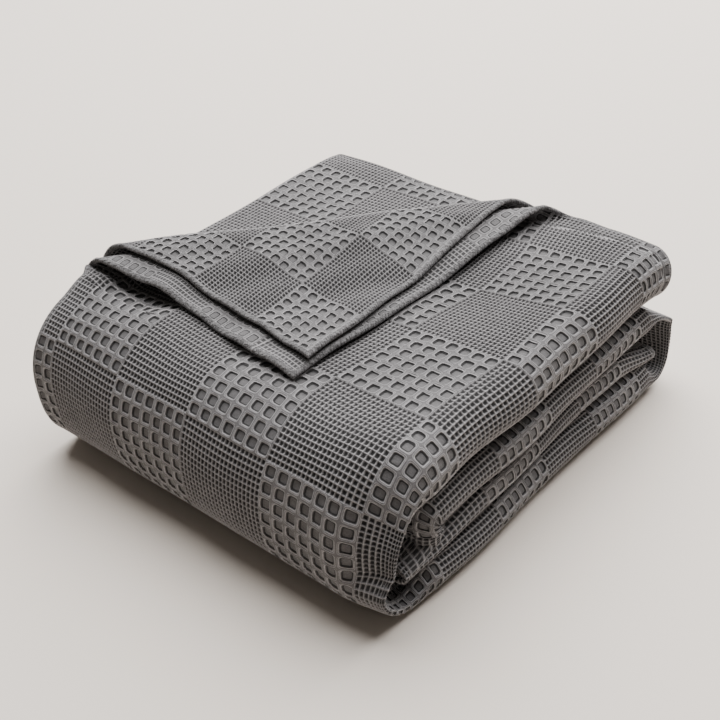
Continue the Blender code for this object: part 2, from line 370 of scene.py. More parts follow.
def level_span(level, y, side):
    """Inner and outer middle lines of a level at y: inner y, inner z, outer y, outer z, close."""
    y = np.asarray(y, float)
    gap_above = LEVEL_GAP / 2.0 if level > 1 else 0.0
    gap_below = LEVEL_GAP / 2.0 if level < 4 else 0.0
    top = border_height(level - 1, y, side) - gap_above - SHEET / 2.0
    bottom = border_height(level, y, side) + gap_below + SHEET / 2.0
    close = np.full_like(y, 1.0 if level == 1 else 0.0)
    if level <= 2:
        return np.stack([y, bottom, y, top, close])
    return np.stack([y, top, y, bottom, close])


def wrap_radius(height, reach, angle, square):
    """Radius of a squarish wrap at an angle, from its half height and its reach."""
    flat = (np.abs(np.cos(angle)) / height) ** square
    side = (np.abs(np.sin(angle)) / reach) ** square
    return (flat + side) ** (-1.0 / square)


def wrap_span(wrap, first, last, angle, side):
    """Inner and outer middle lines round a wrap, in level_span's layout."""
    start = level_span(first, np.full_like(angle, wrap.y), side)
    end = level_span(last, np.full_like(angle, wrap.y), side)
    centre = (start[1] + end[1]) / 2.0
    near = np.where(np.cos(angle) > 0.0, start, end)
    square = np.where(near[3] > centre, wrap.square_top, wrap.square_bottom)
    inner = wrap_radius(np.abs(near[1] - centre), wrap.inner + SHEET / 2.0, angle, square)
    outer = wrap_radius(np.abs(near[3] - centre), wrap.reach - SHEET / 2.0, angle, square)
    across = wrap.way * np.sin(angle)
    up = np.where(start[3] > start[1], 1.0, -1.0) * np.cos(angle)
    close = 1.0 - ease(angle / math.pi) if first == 1 else np.zeros_like(angle)
    inner_y, inner_z = wrap.y + inner * across, centre + inner * up
    outer_y, outer_z = wrap.y + outer * across, centre + outer * up
    return np.stack([inner_y, inner_z, outer_y, outer_z, close])


def strip(t, side):
    """Span at strip coordinate t from 0 to 7, one unit a segment, from the free end of level 1."""
    t = np.asarray(t, float)
    part = np.clip(np.floor(t), 0, 6).astype(int)
    share = t - part
    runs = {
        0: (1, TOP_END, OUTER_WRAP.y),
        2: (4, OUTER_WRAP.y, BACK_WRAP.y),
        4: (2, BACK_WRAP.y, INNER_WRAP.y),
        6: (3, INNER_WRAP.y, TONGUE_END),
    }
    wraps = {1: (OUTER_WRAP, 1, 4), 3: (BACK_WRAP, 4, 2), 5: (INNER_WRAP, 2, 3)}
    span = np.zeros((5,) + t.shape)
    level = np.zeros_like(t)
    for number, (name, start, end) in runs.items():
        here = part == number
        if here.any():
            span[:, here] = level_span(name, mix(start, end, share[here]), side)
            level[here] = name
    for number, (wrap, first, last) in wraps.items():
        here = part == number
        if here.any():
            span[:, here] = wrap_span(wrap, first, last, math.pi * share[here], side)
            level[here] = mix(first, last, share[here])
    return span, level


def run_table():
    """Cloth length along the outer ply against the strip coordinate; it falls from TOP_END."""
    t = np.linspace(0.0, 7.0, 7001)
    left = strip(t, 0)[0]
    right = strip(t, 1)[0]
    y = (left[2] + right[2]) / 2.0
    z = (left[3] + right[3]) / 2.0
    length = np.concatenate([[0.0], np.cumsum(np.hypot(np.diff(y), np.diff(z)))])
    return t, TOP_END - length


TABLE_T, TABLE_V = run_table()


def strip_at(v):
    """Strip coordinate at cloth length v."""
    return np.interp(-v, -TABLE_V, TABLE_T)


def length_at(t):
    """Cloth length at strip coordinate t."""
    return np.interp(t, TABLE_T, TABLE_V)


def facts(t):
    """What the folds of the four plies need at strip coordinate t."""
    left, _ = strip(t, 0)
    right, level = strip(t, 1)

    def spans(span):
        length = np.hypot(span[2] - span[0], span[3] - span[1])
        third = mix(1.0 / 3.0, 1.0 - 2.0 * CLOSE_PLY / length, span[4])
        second = mix(2.0 / 3.0, 1.0 - CLOSE_PLY / length, span[4])
        return length, third, second

    length, third, second = spans(right)
    left_length, left_third, left_second = spans(left)
    lower = np.clip(np.floor(level - 1.0), 0, 3).astype(int)
    upper = np.minimum(lower + 1, 3)
    setbacks = np.array(RIDGE_SETBACK)
    setback = mix(setbacks[lower], setbacks[upper], level - 1.0 - lower)
    wave = RIDGE_WAVE * np.sin(2.0 * math.pi * right[2] / RIDGE_WAVE_LENGTH + level)
    edge = RIDGE_X - SHEET / 2.0 - RIDGE_WAVE - setback + wave
    ridge = length / 2.0
    left_radius = left_length * left_third / 2.0
    return dict(
        left=left, right=right, ridge=ridge, ridge_start=edge - ridge, third=third,
        second=second, left_third=left_third, left_second=left_second, left_radius=left_radius,
        left_end=HEM_X + FOLD_INSET + left_radius, fold=length * (second - third) / 2.0,
    )


def loop_place(u, f):
    """Top ply, ridge and bottom ply by cloth length u: x, and share across the plies."""
    ridge_end = f["ridge_start"] + math.pi * f["ridge"]
    angle = np.clip((u - f["ridge_start"]) / f["ridge"], 0.0, math.pi)
    x = np.where(u < f["ridge_start"], u, f["ridge_start"] + f["ridge"] * np.sin(angle))
    x = np.where(u > ridge_end, f["ridge_start"] - (u - ridge_end), x)
    share = (1.0 + np.cos(angle)) / 2.0
    return x, share


def bottom_place(step, f):
    """Rest of the bottom ply from the end of the loop patch to the left fold."""
    angle = np.clip((LOOP_END - f["ridge_start"]) / f["ridge"], 0.0, math.pi)
    turn = mix(angle, math.pi, np.clip(step / BOTTOM_ARC, 0.0, 1.0))
    on_arc = step < BOTTOM_ARC
    x = np.where(
        on_arc,
        f["ridge_start"] + f["ridge"] * np.sin(turn),
        mix(f["ridge_start"], f["left_end"], (step - BOTTOM_ARC) / (1.0 - BOTTOM_ARC)),
    )
    return x, np.where(on_arc, (1.0 + np.cos(turn)) / 2.0, 0.0)


def left_fold_place(step, f):
    """Half turn at the -X side, from the bottom ply to the third."""
    angle = math.pi * step
    x = f["left_end"] - f["left_radius"] * np.sin(angle)
    return x, f["left_third"] * (1.0 - np.cos(angle)) / 2.0


def third_place(u, f):
    """Third ply by x, and on round the left fold to the bottom ply."""
    angle = np.clip((f["left_end"] - u) / f["left_radius"], 0.0, math.pi)
    step = (u - f["left_end"]) / (f["ridge_start"] - f["left_end"])
    fold = f["left_third"] * (1.0 + np.cos(angle)) / 2.0
    x = np.where(angle > 0.0, f["left_end"] - f["left_radius"] * np.sin(angle), u)
    return x, np.where(angle > 0.0, fold, mix(f["left_third"], f["third"], step))


def third_step_place(step, f):
    """Third ply, from the left fold to the inner one."""
    x = mix(f["left_end"], f["ridge_start"], step)
    return x, mix(f["left_third"], f["third"], step)


def inner_fold_place(step, f):
    """Half turn inside the ridge, from the third ply to the second."""
    angle = math.pi * step
    share = mix(f["third"], f["second"], (1.0 - np.cos(angle)) / 2.0)
    return f["ridge_start"] + f["fold"] * np.sin(angle), share


def second_place(x, f):
    """Second ply by x, from the ridge to its hem."""
    step = (f["ridge_start"] - x) / (f["ridge_start"] - HEM_X)
    return x, mix(f["second"], f["left_second"], step)


def second_step_place(step, f):
    """Second ply, from the inner fold to its hem."""
    x = mix(f["ridge_start"], HEM_X, step)
    return x, mix(f["second"], f["left_second"], step)


PLACES = {
    "top": loop_place,
    "bottom": bottom_place,
    "left fold": left_fold_place,
    "third": third_place,
    "third step": third_step_place,
    "inner fold": inner_fold_place,
    "second": second_place,
    "second step": second_step_place,
}


def crest_axes(turn):
    """Start of a turn's crest, and the directions along it and beyond it."""
    start = np.array(CREST_START)
    along = np.array(CREST_END) - start
    along = along / np.hypot(*along)
    beyond = np.array((-along[1], along[0]))
    return start + beyond * turn.offset, along, beyond


def trough(x, y, t, share):
    """The cloth in front of the crest's left end sinks where it isn't held up."""
    start, _, beyond = crest_axes(TURNS["top"])
    distance = (x - start[0]) * beyond[0] + (y + crest_bend(x) - start[1]) * beyond[1]
    band = within(distance, TROUGH_BEFORE_CREST) * within(x, TROUGH_ACROSS)
    return TROUGH * share * band * (t <= 1.0)


def crest_bend(x):
    """How far the crest bends towards the front at x."""
    return np.interp(x, CREST_BEND_X, CREST_BEND)


def turn_back(x, y, z, turn):
    """Bend what lies beyond the crest up and back over the stack."""
    start, along, beyond = crest_axes(turn)
    past = (x - start[0]) * beyond[0] + (y - start[1]) * beyond[1]
    y_crest = y + crest_bend(x) * (1.0 - ease(past / CREST_BEND_FADE))
    distance = (x - start[0]) * beyond[0] + (y_crest - start[1]) * beyond[1]
    run_along = (x - start[0]) * along[0] + (y_crest - start[1]) * along[1]
    corner = np.array((HEM_X, TOP_END)) - start
    tip = np.array(turn.tip) - start
    bend = math.pi * turn.radius
    reach = -tip.dot(beyond)
    stretch = reach / (corner.dot(beyond) - bend)
    shift = 2.0 * turn.radius * CREST_SLANT
    slant = (tip.dot(along) - corner.dot(along) - shift) / reach
    angle = np.clip(distance / turn.radius, 0.0, math.pi)
    lifted = turn.radius * (1.0 - np.cos(angle))
    run = np.maximum(distance - bend, 0.0) * stretch
    out = turn.radius * np.sin(angle) - run
    side = run_along + CREST_SLANT * lifted + slant * run
    drop = (2.0 * turn.radius - turn.rest) * ease(run / FLAP_SLOPE_LENGTH)
    new_x = start[0] + along[0] * side + beyond[0] * out
    new_y = start[1] + along[1] * side + beyond[1] * out
    bend_here = crest_bend(new_x) * (1.0 - ease(run / CREST_BEND_FADE))
    new_x = new_x - bend_here * ease(angle / CREST_BEND_ANGLE) * CREST_BEND_ASIDE
    new_y = new_y - bend_here
    beyond_crest = distance > 0.0
    return (
        np.where(beyond_crest, new_x, x),
        np.where(beyond_crest, new_y, y),
        np.where(beyond_crest, z + lifted - drop, z),
        ease(run / TURNED_LENGTH) * beyond_crest,
    )


def droop(x, y, turn):
    """How far the open end of level 1 sinks onto the rounded back of the level below it."""
    part = np.clip((y - BACK_WRAP.y) / BACK_WRAP.reach, 0.0, DROOP_LIMIT)
    square = BACK_WRAP.square_top
    sink = DROOP_HEIGHT * (1.0 - (1.0 - part ** square) ** (1.0 / square))
    if turn is None:
        return sink
    start, _, beyond = crest_axes(turn)
    distance = (x - start[0]) * beyond[0] + (y - start[1]) * beyond[1]
    return sink * (1.0 - rise(distance, DROOP_BEFORE_CREST))


def pinch(x, t, share, z):
    """The plies draw together towards the ridge where they go round the front and the back."""
    turn = t - np.floor(t)
    front = (t > 1.0) & (t < 2.0)
    back = (t > 3.0) & (t < 4.0)
    amount = np.where(front, within(turn, FRONT_PINCH), 0.0)
    amount = np.where(back, within(turn, BACK_PINCH), amount)
    hollow = rise(x, HOLLOW_ACROSS) * amount
    share = 1.0 - (1.0 - share) * mix(1.0, np.where(front, FRONT_HOLLOW, BACK_HOLLOW), hollow)
    front_centre = mix(FRONT_PINCH_LOW, FRONT_PINCH_HIGH, rise(z, FRONT_PINCH_HEIGHT))
    centre = np.where(front, front_centre, BACK_PINCH_SHARE)
    near = rise(x, PINCH_ACROSS)
    share = mix(share, centre + (share - PINCH_MIDDLE) * PINCH_WIDTH, near * amount)
    return mix(share, LIP_SHARE + (share - 0.5) * LIP_WIDTH, near * within(t, LIP_PINCH_TURNS))


def inner_drop(kind, x, t):
    """How much deeper the inner plies lie where the front wrap starts, clear of the outer cells."""
    if kind not in INNER_PLIES:
        return 0.0
    return INNER_DROP * rise(x, INNER_DROP_ACROSS) * within(t, INNER_DROP_TURNS)


def lip_reach(x, t):
    """How much farther the folds inside the front wrap reach towards it at the ridge."""
    return rise(x, LIP_ACROSS) * np.interp(t, LIP_TURNS, LIP_REACH)


def soft_ends(x, y, z, t, share, outer_y, outer_z):
    """The +X ends of the folds at the back: level 2's wedge, the tongue, level 1's slanted end."""
    over = np.maximum(outer_z - (WEDGE_TOP - WEDGE_SLOPE * (outer_y - BACK_WRAP.y)), 0.0)
    z = z - np.where((t > 3.0) & (t < 4.0), rise(x, WEDGE_ACROSS) * share * over, 0.0)
    tongue = rise(t, TONGUE_TURNS) * rise(x, TONGUE_ACROSS)
    y = y + (TONGUE_REACH + TONGUE_ROUND * (1.0 - share)) * tongue
    z = mix(z, outer_z - TONGUE_DROP, TONGUE_THINNING * tongue)
    end = rise(t, END_TURNS) * rise(x, END_ACROSS)
    y = y + (END_OUT * share - END_SLANT * (1.0 - share)) * end
    lift = TOP_LIFT * share * rise(x, TOP_LIFT_ACROSS) * rise(y, TOP_LIFT_ALONG)
    return y, z + np.where(t <= 1.0, lift, 0.0)


def flap_wave(x, y):
    """Ripples of the turned-back corner: two crossing waves, in radians a metre."""
    return FLAP_WAVE * (np.sin(74.0 * x + 61.0 * y + 1.0) + 0.6 * np.sin(150.0 * x - 97.0 * y))


def cloth_place(kind, u, v):
    """Middle of the cloth at ply coordinate u and cloth length v, and how far it is turned back."""
    t = strip_at(v)
    f = facts(t)
    x, share = PLACES[kind](u, f)
    across = (x - HEM_X) / (RIDGE_X - HEM_X)
    inner_y, inner_z, outer_y, outer_z = [
        mix(left, right, across) for left, right in zip(f["left"][:4], f["right"][:4])
    ]
    share = pinch(x, t, share, (inner_z + outer_z) / 2.0) - inner_drop(kind, x, t)
    y = mix(inner_y, outer_y, share) - lip_reach(x, t)
    z = mix(inner_z, outer_z, share)
    y, z = soft_ends(x, y, z, t, share, outer_y, outer_z)
    z = z - trough(x, y, t, share)
    turned = np.zeros_like(x)
    ply = kind.split()[0]
    turn = TURNS.get(ply)
    on_level_1 = t <= 1.0
    z = z - np.where(on_level_1, droop(x, y, turn), 0.0)
    if ply == "top":
        z = z + VALLEY_LIFT * rise(x, VALLEY_ACROSS) * within(t, VALLEY_TURNS)
    if turn is not None:
        bent_x, bent_y, bent_z, bent = turn_back(x, y, z, turn)
        x, y = np.where(on_level_1, bent_x, x), np.where(on_level_1, bent_y, y)
        turned = np.where(on_level_1, bent, 0.0)
        z = np.where(on_level_1, bent_z, z) + turned * flap_wave(x, y)
    return np.stack([x, y, z], -1), turned


def follow(value, given, wanted):
    """Piecewise straight from given to wanted; the last pieces go on beyond the ends."""
    given, wanted = np.array(given, float), np.array(wanted, float)
    value = np.asarray(value, float)
    low = np.minimum(value - given[0], 0.0) * (wanted[1] - wanted[0]) / (given[1] - given[0])
    high = np.maximum(value - given[-1], 0.0) * (wanted[-1] - wanted[-2]) / (given[-1] - given[-2])
    return np.interp(value, given, wanted) + low + high


def line_number(borders, place):
    """Block line number at a place on the cloth."""
    return follow(place, borders.places, borders.numbers)


def line_place(borders, number):
    """Place on the cloth of a block line number."""
    return follow(number, borders.numbers, borders.places)


def skew(kind, u, v):
    """Where the weave lines u, v lie on the cloth: the top ply's weave runs a little askew."""
    if kind != "top":
        return u, v
    a, b = line_number(ACROSS, u), line_number(ALONG, v)
    fade = 1.0 - rise(b, SKEW_FADE)
    slant = SKEW_ALONG * np.clip(b, 0.0, SKEW_LINES) * fade
    sideways = SKEW_ACROSS * np.clip(b - SIDEWAYS_START, 0.0, SKEW_LINES - SIDEWAYS_START) * fade
    sideways = sideways * np.clip(1.0 - a, 0.0, 1.0) * rise(a, SIDEWAYS_RISE)
    return u + sideways, v + slant * np.clip(u - SKEW_PIVOT, *SKEW_REACH)


def hem_distance(kind, u, v):
    """Distance to the nearest hem edge."""
    end = np.minimum(TOP_END - v, v - TABLE_V[-1])
    if kind == "top":
        return np.minimum(end, u - HEM_X)
    if kind == "second":
        return np.minimum(end, (u - HEM_X) * FLAP_STRETCH_ACROSS)
    if kind == "second step":
        return np.minimum(end, mix(SECOND_START, HEM_X, u) - HEM_X)
    return end


def marks(kind, u, v):
    """Rim, 1 where the ply narrows at a fold's end, and the distance past the stitched line."""
    if kind != "top":
        return np.zeros_like(u), np.ones_like(u)
    t = strip_at(v)
    back = within(t, BACK_RIM_TURNS)
    lip = mix(LIP_RIM_INNER, LIP_RIM_OUTER, rise(t, LIP_RIM_CHANGE)) * within(t, LIP_RIM_TURNS)
    inside = rise(u, INSIDE_RIM_ACROSS) * within(t, INSIDE_RIM_TURNS)
    rim = np.maximum(rise(u, RIM_ACROSS) * np.maximum(back, lip), inside)
    return rim, np.where(t < 1.0, v - STITCH_START - STITCH_SLANT * (u - STITCH_X), 1.0)


def weave_coordinates(kind, u, v):
    """Block line numbers across and along the cloth."""
    if kind == "second":
        return line_number(FLAP_ACROSS, u), line_number(FLAP_ALONG, v)
    if kind == "third":
        return line_number(THIRD_ACROSS, u), line_number(THIRD_ALONG, v)
    if kind == "second step":
        u = mix(SECOND_START, HEM_X, u)
    start = LOOP_END
    for name, width in HIDDEN_WIDTHS:
        if kind == name:
            u = start + u * width
            break
        start = start + width
    return line_number(ACROSS, u), line_number(ALONG, v)


def large_cells(a, b):
    """Whether a, b is in a block of large cells, and the cell coordinates there."""
    a, b = a + LINE_NUDGE, b + LINE_NUDGE
    across = (a + 1.0) % 2.0
    along = b % 2.0
    across = np.where(np.floor(b) % 2.0 > 0.5, across, 2.0 - across)
    along = np.where(np.floor(a) % 2.0 > 0.5, 2.0 - along, along)
    return across < 1.0, across * LARGE_CELLS, along * LARGE_CELLS


def from_middle(cells):
    """0 in the middle of a cell, 1 on the line between two cells."""
    return np.abs(cells - np.floor(cells) - 0.5) * 2.0


def relief(a, b, edge, rim):
    """Height of the face above its ribs."""
    large, ca, cb = large_cells(a, b)
    large = large & (rim < RIM_FINE)
    square = (from_middle(ca) / PIT_HALF) ** PIT_POWER + (from_middle(cb) / PIT_HALF) ** PIT_POWER
    fine_across = ease((1.0 - from_middle(a * FINE_ACROSS)) * FINE_EDGE)
    fine_along = ease((1.0 - from_middle(b * FINE_ALONG)) * FINE_EDGE)
    fine = np.maximum(fine_across * fine_along, LOW_RIB * (1.0 - fine_along))
    pit = np.where(large, rise(square, PIT_EDGE), fine)
    depth = np.where(large, PIT_DEPTH, FINE_DEPTH)
    fade = ease((edge - HEM_BAND) / HEM_FADE)
    return -pit * depth * fade * (1.0 - RIM_SHALLOWER * rim)


def half_thickness(edge, turned):
    """Half the cloth's thickness: a rolled hem along its edges."""
    radius = HEM_HALF + HEM_TURNED_EXTRA * turned
    inside = np.clip(edge, 0.0, radius)
    tip = np.sqrt(np.maximum(1.0 - (1.0 - inside / radius) ** 2, 0.0))
    round_edge = HEM_EDGE_HALF + (radius - HEM_EDGE_HALF) * tip
    return mix(round_edge, SHEET / 2.0, ease((edge - HEM_BAND) / HEM_THINNING))


def loosen(points):
    """The slight unevenness of soft cloth: waves in radians a metre, the same for all plies."""
    x, y, z = points[..., 0], points[..., 1], points[..., 2]
    height = np.clip(z / BORDERS[0].front_left, 0.0, RIPPLE_LIMIT)
    wave = np.sin(31.0 * x + 1.3) * np.sin(23.0 * y + 0.4) + 0.6 * np.sin(57.0 * x - 41.0 * y + 2.0)
    out = points.copy()
    out[..., 0] = x + RIPPLE * np.sin(67.0 * y + 15.0 * x + 0.7) * np.sin(38.0 * x + 21.0 * z)
    out[..., 1] = y + RIPPLE * np.sin(59.0 * x - 17.0 * y + 0.2) * np.sin(43.0 * y + 34.0 * z)
    out[..., 2] = np.maximum(z + RIPPLE_UP * wave * height, 0.0)
    return out


def middle(kind, u, v):
    """cloth_place, loosened."""
    points, turned = cloth_place(kind, u, v)
    return loosen(points), turned


def faces_of(kind, u, v, flip):
    """Both faces of a patch: points of side A and of side B, and the weave's values there."""
    a, b = weave_coordinates(kind, u, v)
    rim, stitch = marks(kind, u, v)
    u, v = skew(kind, u, v)
    points, turned = middle(kind, u, v)
    step_u = SLOPE_STEP if kind in ("top", "third", "second") else COARSE_SLOPE_STEP
    du = middle(kind, u + step_u, v)[0] - middle(kind, u - step_u, v)[0]
    dv = middle(kind, u, v + SLOPE_STEP)[0] - middle(kind, u, v - SLOPE_STEP)[0]
    normal = np.cross(du, dv)
    size = np.linalg.norm(normal, axis=-1, keepdims=True)
    normal = normal / np.maximum(size, 1e-12)
    if flip:
        normal = -normal
    edge = hem_distance(kind, u, v)
    half = half_thickness(edge, turned)
    face = points + normal * (half + relief(a, b, edge, rim))[..., None]
    back = points - normal * half[..., None]
    for side in (face, back):
        side[..., 2] = np.maximum(side[..., 2], 0.0)
    return face, back, np.stack([a, b, edge, rim, stitch], -1)


def thinned(count):
    """The lines that side B keeps of a grid, its last one included."""
    kept = list(range(0, count, THINNING))
    if kept[-1] != count - 1:
        kept.append(count - 1)
    return np.array(kept)


class Cloth:
    """Collects patches of the sheet into one mesh."""

    def __init__(self):
        self.points, self.weave, self.faces, self.sharp = [], [], [], []
        self.count = 0

    def grid(self, points, weave, flipped):
        rows, cols = points.shape[:2]
        index = self.count + np.arange(rows * cols).reshape(rows, cols)
        self.points.append(points.reshape(-1, 3))
        self.weave.append(weave.reshape(-1, 5))
        self.count += rows * cols
        corners = [index[:-1, :-1], index[1:, :-1], index[1:, 1:], index[:-1, 1:]]
        quads = np.stack(corners, -1).reshape(-1, 4)
        if flipped:
            quads = quads[:, ::-1]
        self.faces += quads.tolist()
        self.sharp += [False] * len(quads)
        return index

    def add(self, kind, us, vs, flip=False):
        """A closed patch over the lines us and vs: all of them on side A, every third on side B."""
        u, v = np.meshgrid(np.asarray(us, float), np.asarray(vs, float), indexing="ij")
        face, back, weave = faces_of(kind, u, v, flip)
        rows, cols = thinned(len(us)), thinned(len(vs))
        coarse = np.ix_(rows, cols)
        top = self.grid(face, weave, flip)
        low = self.grid(back[coarse], weave[coarse], not flip)
        self.wall(top[0, :], low[0, :], cols, flip)
        self.wall(top[-1, :], low[-1, :], cols, not flip)
        self.wall(top[:, 0], low[:, 0], rows, not flip)
        self.wall(top[:, -1], low[:, -1], rows, flip)

    def wall(self, edge, low, kept, flipped):
        for k in range(len(kept) - 1):
            face = list(edge[kept[k]: kept[k + 1] + 1]) + [low[k + 1], low[k]]
            if flipped:
                face = face[::-1]
            self.faces.append([int(i) for i in face])
            self.sharp.append(True)

    def build(self, name, material):
        mesh = bpy.data.meshes.new(name)
        points = np.concatenate(self.points)
        mesh.from_pydata(points, [], self.faces)
        mesh.polygons.foreach_set("use_smooth", np.logical_not(self.sharp))
        values = np.concatenate(self.weave).astype(np.float32)
        weave = mesh.attributes.new("weave", "FLOAT_VECTOR", "POINT")
        weave.data.foreach_set("vector", values[:, :3].ravel())
        for column, name_of in ((3, "rim"), (4, "stitch")):
            extra = mesh.attributes.new(name_of, "FLOAT", "POINT")
            extra.data.foreach_set("value", np.ascontiguousarray(values[:, column]))
        mesh.materials.append(material)
        mesh.update()
        piece = bpy.data.objects.new(name, mesh)
        bpy.context.scene.collection.objects.link(piece)
        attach(piece, "root")
        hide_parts("blanket")


def lines(start, end, borders, count):
    """Places of the weave lines between two places, count to a block, with the two ends."""
    low, high = min(start, end), max(start, end)
    first = math.ceil(line_number(borders, low) * count + LINE_CLEAR)
    last = math.floor(line_number(borders, high) * count - LINE_CLEAR)
    inner = line_place(borders, np.arange(first, last + 1) / count)
    return np.concatenate([[low], inner, [high]])


def hem_lines(values, start, way, scale=1.0):
    """Lines with extra ones round a hem's edge."""
    extra = start + way * np.array(HEM_LINES) / scale
    rest = values[np.abs(values - start) > HEM_CLEAR / scale]
    return np.unique(np.concatenate([[start], extra, rest]))


class Graph:
    """Short helper for a material's nodes: values in, sockets out."""

    def __init__(self, material):
        self.tree = material.node_tree

    def node(self, kind):
        return self.tree.nodes.new(kind)

    def link(self, value, socket):
        if isinstance(value, (int, float)):
            socket.default_value = value
        else:
            self.tree.links.new(value, socket)

    def math(self, operation, a, b=0.0):
        node = self.node("ShaderNodeMath")
        node.operation = operation
        self.link(a, node.inputs[0])
        self.link(b, node.inputs[1])
        return node.outputs[0]

    def add(self, a, b):
        return self.math("ADD", a, b)

    def subtract(self, a, b):
        return self.math("SUBTRACT", a, b)

    def multiply(self, a, b):
        return self.math("MULTIPLY", a, b)

    def most(self, a, b):
        return self.math("MAXIMUM", a, b)

    def without(self, value):
        return self.subtract(1.0, value)

    def mix(self, share, a, b):
        return self.add(a, self.multiply(share, self.subtract(b, a)))

    def ramp(self, value, limits):
        """0 below the first limit, 1 above the second, smooth between."""
        node = self.node("ShaderNodeMapRange")
        node.interpolation_type = "SMOOTHSTEP"
        self.link(value, node.inputs["Value"])
        node.inputs["From Min"].default_value, node.inputs["From Max"].default_value = limits
        return node.outputs["Result"]

    def cell(self, value, count):
        """1 on the line between two cells, 0 in a cell's middle."""
        part = self.math("FRACT", self.multiply(value, count))
        return self.multiply(self.math("ABSOLUTE", self.subtract(part, 0.5)), 2.0)

    def line(self, value, thread):
        """A thin raised line where value is at the thread's place."""
        away = self.math("ABSOLUTE", self.subtract(value, thread.place))
        return self.without(self.ramp(away, (0.25 * thread.width, thread.width)))

    def noise(self, place, grain):
        node = self.node("ShaderNodeTexNoise")
        node.inputs["Scale"].default_value = grain.scale
        node.inputs["Detail"].default_value = grain.detail
        self.link(place, node.inputs["Vector"])
        return node.outputs["Fac"]

    def spread(self, place, grain, amount):
        """Noise round 0, amount wide."""
        return self.multiply(self.subtract(self.noise(place, grain), 0.5), amount)

    def attribute(self, name, output="Fac"):
        node = self.node("ShaderNodeAttribute")
        node.attribute_name = name
        return node.outputs[output]


def block_cells(g, a, b, rim):
    """Coordinates in a block of large cells, and 1 where the cells are fine instead."""
    across = g.math("FLOORED_MODULO", g.add(a, 1.0), 2.0)
    along = g.math("FLOORED_MODULO", b, 2.0)
    odd_band = g.math("FLOORED_MODULO", g.math("FLOOR", b), 2.0)
    odd_column = g.math("FLOORED_MODULO", g.math("FLOOR", a), 2.0)
    across = g.mix(odd_band, g.subtract(2.0, across), across)
    along = g.mix(odd_column, along, g.subtract(2.0, along))
    fine = g.most(g.math("GREATER_THAN", across, 1.0), g.math("GREATER_THAN", rim, RIM_FINE))
    return across, along, fine


def large_pattern(g, across, along, fray, place):
    """Light and dark of the large cells: painted highlights on the two thread lines round each pit,
    painted shade on the pit's walls and floor, and a darker line between cells.
    """
    sides = [
        g.math("POWER", g.cell(value, LARGE_CELLS), CELL_POWER) for value in (across, along)
    ]
    square = g.math("POWER", g.add(*sides), 1.0 / CELL_POWER)
    square = g.add(square, g.spread(place, WOBBLE_NOISE, WOBBLE))
    outer = g.multiply(g.line(square, OUTER_THREAD), OUTER_THREAD_SHARE)
    thread_highlights = g.add(g.line(square, INNER_THREAD), outer)
    thread_highlights = g.multiply(thread_highlights, g.multiply(fray, THREAD_HIGHLIGHT))
    # painted shade: the pit floor and the pit walls are darkened in colour
    floor = g.without(g.ramp(square, PIT_FLOOR))
    wall = g.without(g.ramp(square, PIT_WALL_OUTSIDE))
    wall = g.multiply(g.ramp(square, PIT_WALL_INSIDE), wall)
    between = g.multiply(g.ramp(square, BETWEEN_CELLS), BETWEEN_CELLS_DARK)
    pit = g.add(g.multiply(floor, PIT_FLOOR_SHADE), g.multiply(wall, PIT_WALL_SHADE))
    return thread_highlights, g.add(pit, between)


def fine_pattern(g, a, b, fray, place):
    """Light and dark of the fine cells: painted highlights on the cord tops of the ribs, and
    painted shade in the fine hollows between the ribs.
    """
    along, across = g.cell(a, FINE_ACROSS), g.cell(b, FINE_ALONG)
    shift = g.spread(place, UNEVEN_NOISE, UNEVEN)
    ribs_along = g.ramp(g.add(along, shift), RIB_ALONG)
    ribs_across = g.ramp(g.subtract(across, shift), RIB_ACROSS)
    cord_highlights_across = g.multiply(g.ramp(across, CORD_ACROSS), CORD_ACROSS_SHARE)
    cord_highlights = g.add(g.ramp(along, CORD_ALONG), cord_highlights_across)
    cord_highlights = g.multiply(g.multiply(cord_highlights, CORD_HIGHLIGHT), fray)
    return cord_highlights, g.without(g.most(ribs_along, ribs_across))


def hem_pattern(g, a, b, edge, place):
    """Light, dark and tufts of a hem: a slanted twill with a seam beside it."""
    slant = g.add(g.multiply(a, TWILL_BY_LINES), g.multiply(b, TWILL_BY_LINES))
    slant = g.add(slant, g.multiply(edge, TWILL_BY_EDGE))
    slant = g.add(slant, g.multiply(g.noise(place, TWILL_NOISE), TWILL_WANDER))
    twill = g.math("ABSOLUTE", g.subtract(g.math("FRACT", slant), 0.5))
    rough = g.multiply(g.noise(place, ROUGH_NOISE), ROUGH)
    light = g.most(g.multiply(twill, rough), g.line(edge, SEAM))
    tufts = g.ramp(g.noise(place, TUFT_NOISE), TUFT)
    dark = g.add(g.multiply(g.subtract(0.5, twill), TWILL_DARK), HEM_DARK)
    return light, g.subtract(dark, g.multiply(tufts, TUFT_LIGHT)), tufts


